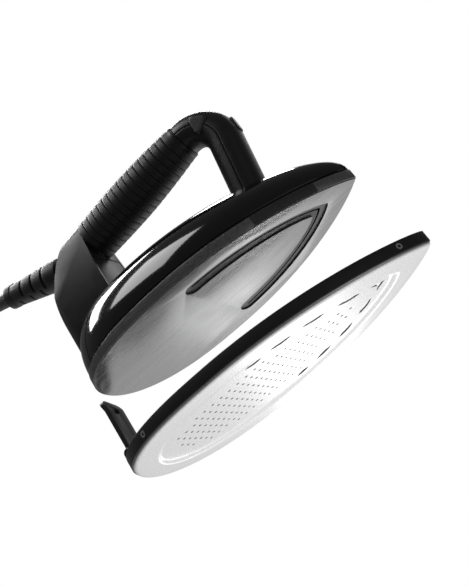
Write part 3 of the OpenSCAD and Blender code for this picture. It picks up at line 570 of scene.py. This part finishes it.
collar_z = GRIP_LEN - COLLAR
grip_profile = [(GRIP_BORE, 0.1), (barrel(0) - 0.5, 0.1), (barrel(0) - 0.12, 0.35)]
for i in range(RIBS):
    for k in range(1, RIB_STEPS):
        s = (i + k / RIB_STEPS) * RIB
        hollow = 0.16 * (1 - math.sin(math.pi * k / RIB_STEPS)) ** 2
        grip_profile.append((barrel(s) - hollow, s))
    if i < RIBS - 1:
        s = (i + 1) * RIB
        grip_profile += [(barrel(s) - deep, s + along) for along, deep in RIB_GROOVE]
grip_profile += [(barrel(collar_z), collar_z), (GRIP_BORE, collar_z)]
add_piece("grip_rubber_sleeve", lathe(grip_profile, on_grip(COLUMN_X), 128), GRIP, "iron",
          ("grip_sleeve",), 50)

collar_profile = [(r, collar_z + along) for r, along in (
    (GRIP_BORE, 0), (13.1, 0), (13.35, 0.12), (13.4, 0.4), (13.4, 2.0), (13.25, 2.35), (12.95, 2.55),
    (12.9, 2.9), (12.6, 3.1), (GRIP_BORE, 3.1))]
add_piece("grip_end_collar", lathe(collar_profile, on_grip(COLUMN_X)), SATIN, "iron",
          ("grip_collar",), 30)

POST_LEAN = 10.5  # degrees
POST_FOOT = 36  # height of the post's foot over the sole
BEND_R = 21
ELBOW_R = 12.3
BEND_TUBE_R = 11.8
POST_R = 12.1
BEND_START = 90 + TILT_DEGREES
TURN = BEND_START + POST_LEAN
CORNER = 61.4  # where the grip's axis and the post's axis would meet
half_turn = math.radians(TURN / 2)
bisector = math.radians(BEND_START - TURN / 2)
BEND_X = CORNER - BEND_R / math.cos(half_turn) * math.cos(bisector)
BEND_Z = grip_height(CORNER) - BEND_R / math.cos(half_turn) * math.sin(bisector)
lean = math.radians(POST_LEAN)
POST_TOP = (BEND_X + BEND_R * math.cos(lean), BEND_Z - BEND_R * math.sin(lean))
POST_LEN = (POST_TOP[1] - SOLE_Z - POST_FOOT) / math.cos(lean)
SEAM_EDGE = ((1.08, 0.42), (1.395, 0.1))  # (degrees, depth) of the rounded edge beside a seam


def eased(a, b, t):
    return a + (b - a) * (1 - math.cos(math.pi * t)) / 2


def elbow_stations(n=48, m=14):
    """Stations (x, z, angle, radius) round the bend and down the post."""
    out = []
    for i in range(n + 1):
        u = i / n
        a = math.radians(BEND_START - TURN * u)
        if u < 0.5:
            r = eased(ELBOW_R, BEND_TUBE_R, 2 * u)
        else:
            r = eased(BEND_TUBE_R, POST_R, 2 * (u - 0.5))
        out.append((BEND_X + BEND_R * math.cos(a), BEND_Z + BEND_R * math.sin(a), a, r))
    for i in range(1, m + 1):
        d = POST_LEN * i / m
        out.append((POST_TOP[0] - d * math.sin(lean), POST_TOP[1] - d * math.cos(lean), -lean, POST_R))
    return out


def half_ring(station, start, n=40):
    """Section of one half of the tube's wall at a station, from start degrees round it."""
    x, z, a, r = station
    centre = Vector((x, 0, z))
    out = Vector((math.cos(a), 0, math.sin(a)))
    side = Vector((0, 1, 0))
    spots = [(b, r - deep) for b, deep in SEAM_EDGE]
    spots += [(2.6 + 174.8 * k / n, r) for k in range(n + 1)]
    spots += [(180 - b, r - deep) for b, deep in reversed(SEAM_EDGE)]
    spots += [(179 - 178 * k / n, r - WALL) for k in range(n + 1)]
    ring = []
    for b, q in spots:
        b = math.radians(start + b)
        ring.append(centre + q * (math.cos(b) * out + math.sin(b) * side))
    return ring


def rounded(corners, r, n=10):
    """Convex outline round circles of one radius, listed anticlockwise."""
    out = []
    count = len(corners)
    for i, c in enumerate(corners):
        before = (c[0] - corners[i - 1][0], c[1] - corners[i - 1][1])
        after = (corners[(i + 1) % count][0] - c[0], corners[(i + 1) % count][1] - c[1])
        a0 = math.atan2(-before[0], before[1])
        a1 = math.atan2(-after[0], after[1])
        arc = (a1 - a0) % (2 * math.pi)
        for k in range(n + 1):
            a = a0 + arc * k / n
            out.append((c[0] + r * math.cos(a), c[1] + r * math.sin(a)))
    return out


# Corners of the side keys' and the front key's outlines, round the keys' centres.
BUTTON = [(-1.9, -3.1), (3.2, -0.4), (-1.6, 3.9)]
PAD = [(0, -3.2), (0, 3.2)]
BUTTON_HOLE_R = 3.7
PAD_HOLE_R = 3.9
button_angle = math.radians(46)
BUTTON_X = BEND_X + (BEND_R + 0.6) * math.cos(button_angle)
BUTTON_Z = BEND_Z + (BEND_R + 0.6) * math.sin(button_angle)
BUTTON_FACE = 12.1
FRONT_Z = BEND_Z + 1.5
FRONT_FACE = BEND_X + BEND_R + BEND_TUBE_R + 0.9
FRONT_BACK = FRONT_FACE - 4.6


def side_ring(corners, r, y):
    return [(BUTTON_X + x, y, BUTTON_Z + z) for x, z in rounded(corners, r)]


def pad_ring(r, x):
    return [(x, y, FRONT_Z + z) for y, z in rounded(PAD, r)]


holes = [[side_ring(BUTTON, BUTTON_HOLE_R, s * 5), side_ring(BUTTON, BUTTON_HOLE_R, s * 17)]
         for s in (-1, 1)]
holes.append([pad_ring(PAD_HOLE_R, FRONT_BACK), pad_ring(PAD_HOLE_R, FRONT_BACK + 12)])
for name, start in (("elbow_outer", -90), ("elbow_inner", 90)):
    wall = skin([half_ring(station, start) for station in elbow_stations()])
    cut(add_piece(name + "_shell", wall, SATIN, "iron", (name,), 34), holes)

MARK_SIZE = 0.85
MARK_LINE_R = 0.2
MARK_POINTS = 14


def steam_mark(side, s):
    """Generic steam mark: three rising wavy lines, raised a hair above a side key's face."""
    name = "steam_mark_" + side
    curve = bpy.data.curves.new(name, "CURVE")
    curve.dimensions = "3D"
    curve.bevel_depth = MARK_LINE_R * MM
    curve.bevel_resolution = 2
    curve.use_fill_caps = True
    for k in (-1, 0, 1):
        height = 4.6 if k else 5.6
        spline = curve.splines.new("POLY")
        spline.points.add(MARK_POINTS - 1)
        for i in range(MARK_POINTS):
            v = i / (MARK_POINTS - 1)
            across = k * 1.6 + 0.45 * math.sin(2 * math.pi * v)
            rise = (v - 0.5) * height
            p = Vector((BUTTON_X - s * across * MARK_SIZE - 0.2, s * (BUTTON_FACE - 0.02),
                        BUTTON_Z + rise * MARK_SIZE + 0.2))
            spline.points[i].co = (*(p * MM), 1)
    obj = bpy.data.objects.new(name, curve)
    scene.collection.objects.link(obj)
    graph = bpy.context.evaluated_depsgraph_get()
    mesh = bpy.data.meshes.new_from_object(obj.evaluated_get(graph))
    bpy.data.objects.remove(obj)
    add_piece(name, mesh, ICON, "button_" + side, (), 60)


# Each key is a stack of outlines: (corner radius, distance) from its back to its face.
KEY_STACK = [(2.9, 8.6), (3.4, 8.7), (3.4, BUTTON_FACE - 0.75), (3.28, BUTTON_FACE - 0.42),
             (3.0, BUTTON_FACE - 0.2), (2.5, BUTTON_FACE - 0.08), (1.4, BUTTON_FACE - 0.02),
             (0.4, BUTTON_FACE)]
FRONT_STACK = [(3.1, FRONT_BACK), (3.6, FRONT_BACK + 0.1), (3.6, FRONT_FACE - 0.9),
               (3.45, FRONT_FACE - 0.45), (3.0, FRONT_FACE - 0.15), (2.2, FRONT_FACE - 0.03),
               (0.6, FRONT_FACE)]
for side, s in (("right", -1), ("left", 1)):
    key = skin([side_ring(BUTTON, r, s * y) for r, y in KEY_STACK])
    add_piece("steam_key_" + side, key, KEYS, "button_" + side, ("steam_button_" + side,), 50)
    steam_mark(side, s)
front_key = skin([pad_ring(r, x) for r, x in FRONT_STACK])
add_piece("front_key", front_key, KEYS, "button_front", ("front_button",), 50)

# ---------- Column ----------

from_node("column_half_left", "column_left", SATIN, "iron", 0.35)
from_node("column_half_right", "column_right", SATIN, "iron", 0.35)
# The inlay's lighter plastic is painted light on the lit front face.
from_node("column_inlay", "column_front", INSERT_PAINTED_LIGHT, "iron", 0.3)

# ---------- Shoe ----------

# Outlines as outline() takes them; every height is over the shoe's face.
PANEL = [40.4, -17.5, 84.7, -96.8, 0.7]
FLANGE_IN = [48.8, -17.5, 91, -100, 0.72]
FLANGE_OUT = [59.9, -18, 111.9, -113.1, 0.85]
SHOE_EDGE = [62.4, -18, 114.6, -115.6, 0.85]
LIP_OUT = [60.95, -18, 112.75, -114.15, 0.85]
LIP_IN = [60, -18, 111.6, -113.2, 0.85]
SHEET_THICK = 1
PANEL_RISE = 2
CURVE_STEPS = 8

dish_curve = []
for k in range(CURVE_STEPS + 1):
    t = k / CURVE_STEPS
    dish_curve.append((mix(PANEL, FLANGE_IN, t), PANEL_RISE * (1 - smooth(t))))
profile = list(dish_curve)
profile.append((mix(FLANGE_IN, FLANGE_OUT, 0.04), 0.0))
profile.append((mix(FLANGE_IN, FLANGE_OUT, 0.5), 0.0))
for k in range(CURVE_STEPS + 1):
    t = math.pi / 2 * k / CURVE_STEPS
    profile.append((mix(FLANGE_OUT, SHOE_EDGE, math.sin(t)), 2.3 * (1 - math.cos(t))))
profile += [(LIP_OUT, 2.38), (LIP_OUT, 8.1), (mix(LIP_OUT, LIP_IN, 0.5), 8.35), (LIP_IN, 8.1),
            (LIP_IN, 2.4), (mix(LIP_IN, FLANGE_OUT, 0.5), 1.4),
            (mix(FLANGE_IN, FLANGE_OUT, 0.9), SHEET_THICK),
            (mix(FLANGE_IN, FLANGE_OUT, 0.04), SHEET_THICK)]
profile += [(c, z + SHEET_THICK) for c, z in reversed(dish_curve)]
add_piece("shoe_dish", swept_outline(profile), SHEET, "shoe", ("shoe_plate",), 40)


def leaf_points(cx, cy, length, width, angle, n=12):
    """Outline of two equal arcs that meet in points, turned by angle degrees."""
    r = ((length / 2) ** 2 + (width / 2) ** 2) / width
    half = math.asin(length / 2 / r)
    a = math.radians(angle)
    out = []
    for sign in (1, -1):
        for i in range(n):
            t = half - 2 * half * i / n
            x, y = r * math.sin(t) * sign, sign * (r * math.cos(t) - (r - width / 2))
            out.append((cx + x * math.cos(a) - y * math.sin(a), cy + x * math.sin(a) + y * math.cos(a)))
    return out


# Holes in each row from the nose, and leaf-shaped slots as (x, y, length, angle).
ROWS = [1, 3, 3, 5, 5, 5, 7, 7, 9, 9, 9, 9, 9, 9, 9, 9, 9, 7, 7, 7, 3]
FIRST_ROW_X = 55
ROW_PITCH = 6.8
HOLE_PITCH = 7
HOLE_POINTS = 16
LEAVES = [(60, 14.6, 16, 34), (39, 27.2, 16, 26), (17.6, 34, 15.6, 17), (-2, 37, 12, 12)]
LEAF_WIDTH = 4.2
ARROWHEAD = [(81, 0), (72.5, 6.2), (75.6, 0), (72.5, -6.2)]

hole = [(math.cos(2 * math.pi * k / HOLE_POINTS), math.sin(2 * math.pi * k / HOLE_POINTS))
        for k in range(HOLE_POINTS)]
loops = [outline(PANEL)]
for i, count in enumerate(ROWS):
    for j in range(count):
        cx = FIRST_ROW_X - ROW_PITCH * i
        cy = (j - (count - 1) / 2) * HOLE_PITCH
        loops.append([(cx + x, cy + y) for x, y in hole])
for cx, cy, length, angle in LEAVES:
    for s in (-1, 1):
        loops.append(leaf_points(cx, s * cy, length, LEAF_WIDTH, -s * angle))
loops.append(ARROWHEAD)

panel_curve = bpy.data.curves.new("panel", "CURVE")
panel_curve.dimensions = "2D"
panel_curve.fill_mode = "BOTH"
panel_curve.extrude = SHEET_THICK / 2 * MM
for loop_points in loops:
    spline = panel_curve.splines.new("POLY")
    spline.points.add(len(loop_points) - 1)
    spline.use_cyclic_u = True
    for k, (x, y) in enumerate(loop_points):
        spline.points[k].co = (x * MM, y * MM, 0, 1)
panel_obj = bpy.data.objects.new("panel", panel_curve)
scene.collection.objects.link(panel_obj)
graph = bpy.context.evaluated_depsgraph_get()
panel_mesh = bpy.data.meshes.new_from_object(panel_obj.evaluated_get(graph))
bpy.data.objects.remove(panel_obj)
panel_mesh.transform(Matrix.Translation((0, 0, (PANEL_RISE + SHEET_THICK / 2) * MM)))
bm = bmesh.new()
bm.from_mesh(panel_mesh)
bmesh.ops.remove_doubles(bm, verts=bm.verts, dist=0.000002)
bmesh.ops.recalc_face_normals(bm, faces=bm.faces)
bm.to_mesh(panel_mesh)
bm.free()
add_piece("shoe_panel", panel_mesh, SHEET, "shoe", (), 30)

RIM_OUT = [63.2, -18, 115.5, -116.4, 0.85]
RIM_IN = [61, -18, 112.8, -114.2, 0.85]
RIM_BASE = 2.4
RIM_SECTION = (  # (part of the way outwards, height over the rim's base)
    (0, 0.25), (0.12, 0.03), (0.2, 0), (0.76, 0), (0.9, 0.08), (0.97, 0.25), (1, 0.5), (1, 4),
    (1, 7.4), (0.97, 7.7), (0.88, 7.93), (0.75, 8), (0.25, 8), (0.1, 7.93), (0, 7.7), (0, 4))
rim_profile = [(mix(RIM_IN, RIM_OUT, a), RIM_BASE + z) for a, z in RIM_SECTION]
add_piece("shoe_rim_band", swept_outline(rim_profile), RIM, "shoe", ("shoe_rim",), 40)
from_node("heel_hinge", "heel_bracket", LEVER, "shoe", 0.5, 3)
from_node("release_lever", "latch_lever", LEVER, "latch", 0.7, 3)

# Nodes still shown as the CAD made them only get a material.
for node, mat in NODE_MATERIALS.items():
    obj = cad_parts[node]
    if obj.hide_render:
        continue
    if not obj.material_slots:
        obj.data.materials.append(mat)
    for slot in obj.material_slots:
        slot.material = mat

# ---------- Stage and light ----------

# The camera sees white; the part is lit by a grey sky, brightest low down on the iron's left.
LIT_FROM = (0, 0.6, -0.8)
SKY_DARK = 0.09
SKY_BRIGHT = 0.9

world = bpy.data.worlds.new("studio")
scene.world = world
world.use_nodes = True
sky = world.node_tree
shade = sky.nodes["Background"]
shade.inputs["Color"].default_value = (1, 1, 1, 1)
coord = sky.nodes.new("ShaderNodeTexCoord")
facing = sky.nodes.new("ShaderNodeVectorMath")
facing.operation = "DOT_PRODUCT"
facing.inputs[1].default_value = LIT_FROM
link(sky, coord.outputs["Generated"], facing.inputs[0])
grey = sky.nodes.new("ShaderNodeMapRange")
link(sky, facing.outputs["Value"], grey.inputs["Value"])
grey.inputs["From Min"].default_value = 0.0
grey.inputs["From Max"].default_value = 0.9
grey.inputs["To Min"].default_value = SKY_DARK
grey.inputs["To Max"].default_value = SKY_BRIGHT
link(sky, grey.outputs[0], shade.inputs["Strength"])
white = sky.nodes.new("ShaderNodeBackground")
white.inputs["Color"].default_value = (1, 1, 1, 1)
path = sky.nodes.new("ShaderNodeLightPath")
choose = sky.nodes.new("ShaderNodeMixShader")
link(sky, path.outputs["Is Camera Ray"], choose.inputs[0])
link(sky, shade.outputs[0], choose.inputs[1])
link(sky, white.outputs[0], choose.inputs[2])
link(sky, choose.outputs[0], sky.nodes["World Output"].inputs[0])
scene.view_settings.view_transform = "Standard"


def softbox(name, at, aim, size, power, size_y=None):
    """Rectangular light at one point, in metres, aimed at another; the camera doesn't see it."""
    data = bpy.data.lights.new(name, "AREA")
    data.shape = "RECTANGLE"
    data.size = size
    data.size_y = size_y or size
    data.energy = power
    obj = bpy.data.objects.new(name, data)
    scene.collection.objects.link(obj)
    obj.location = at
    obj.rotation_mode = "QUATERNION"
    obj.rotation_quaternion = (Vector(aim) - Vector(at)).to_track_quat("-Z", "Y")
    obj.visible_camera = False


softbox("under", (-0.3, 1.15, -0.62), (0, 0, 0.04), size=0.2, size_y=1.0, power=0.9)
softbox("key", (-0.35, -0.45, 1.3), (0, 0, 0.12), size=0.7, power=7)
softbox("top_strip", (-0.45, 0.45, 1.1), (-0.05, 0, 0.12), size=1.6, size_y=0.25, power=16)
softbox("back_strip", (0.6, 1.0, 0.9), (0, 0, 0.1), size=1.0, size_y=0.5, power=2.5)
softbox("fill", (0.9, -0.7, 0.1), (0, 0, 0.08), size=0.8, power=0.3)

# The floor is clear from below, where the camera looks from.
FLOOR_HALF = 6
FLOOR_Z = -0.0004
corners = [(FLOOR_HALF * x, FLOOR_HALF * y, FLOOR_Z) for x, y in ((-1, -1), (1, -1), (1, 1), (-1, 1))]
floor_mesh = bpy.data.meshes.new("floor")
floor_mesh.from_pydata(corners, [], [(0, 1, 2, 3)])
floor = bpy.data.objects.new("floor", floor_mesh)
scene.collection.objects.link(floor)
floor_mat, tree, shader = new_material("pale_floor", Roughness=0.7, Base_Color=(0.82, 0.82, 0.82, 1))
geometry = tree.nodes.new("ShaderNodeNewGeometry")
clear = tree.nodes.new("ShaderNodeBsdfTransparent")
either = tree.nodes.new("ShaderNodeMixShader")
link(tree, geometry.outputs["Backfacing"], either.inputs[0])
link(tree, shader.outputs[0], either.inputs[1])
link(tree, clear.outputs[0], either.inputs[2])
link(tree, either.outputs[0], tree.nodes["Material Output"].inputs[0])
floor_mesh.materials.append(floor_mat)
floor.visible_shadow = False
floor.visible_diffuse = False
floor.visible_glossy = False

bpy.context.view_layer.update()
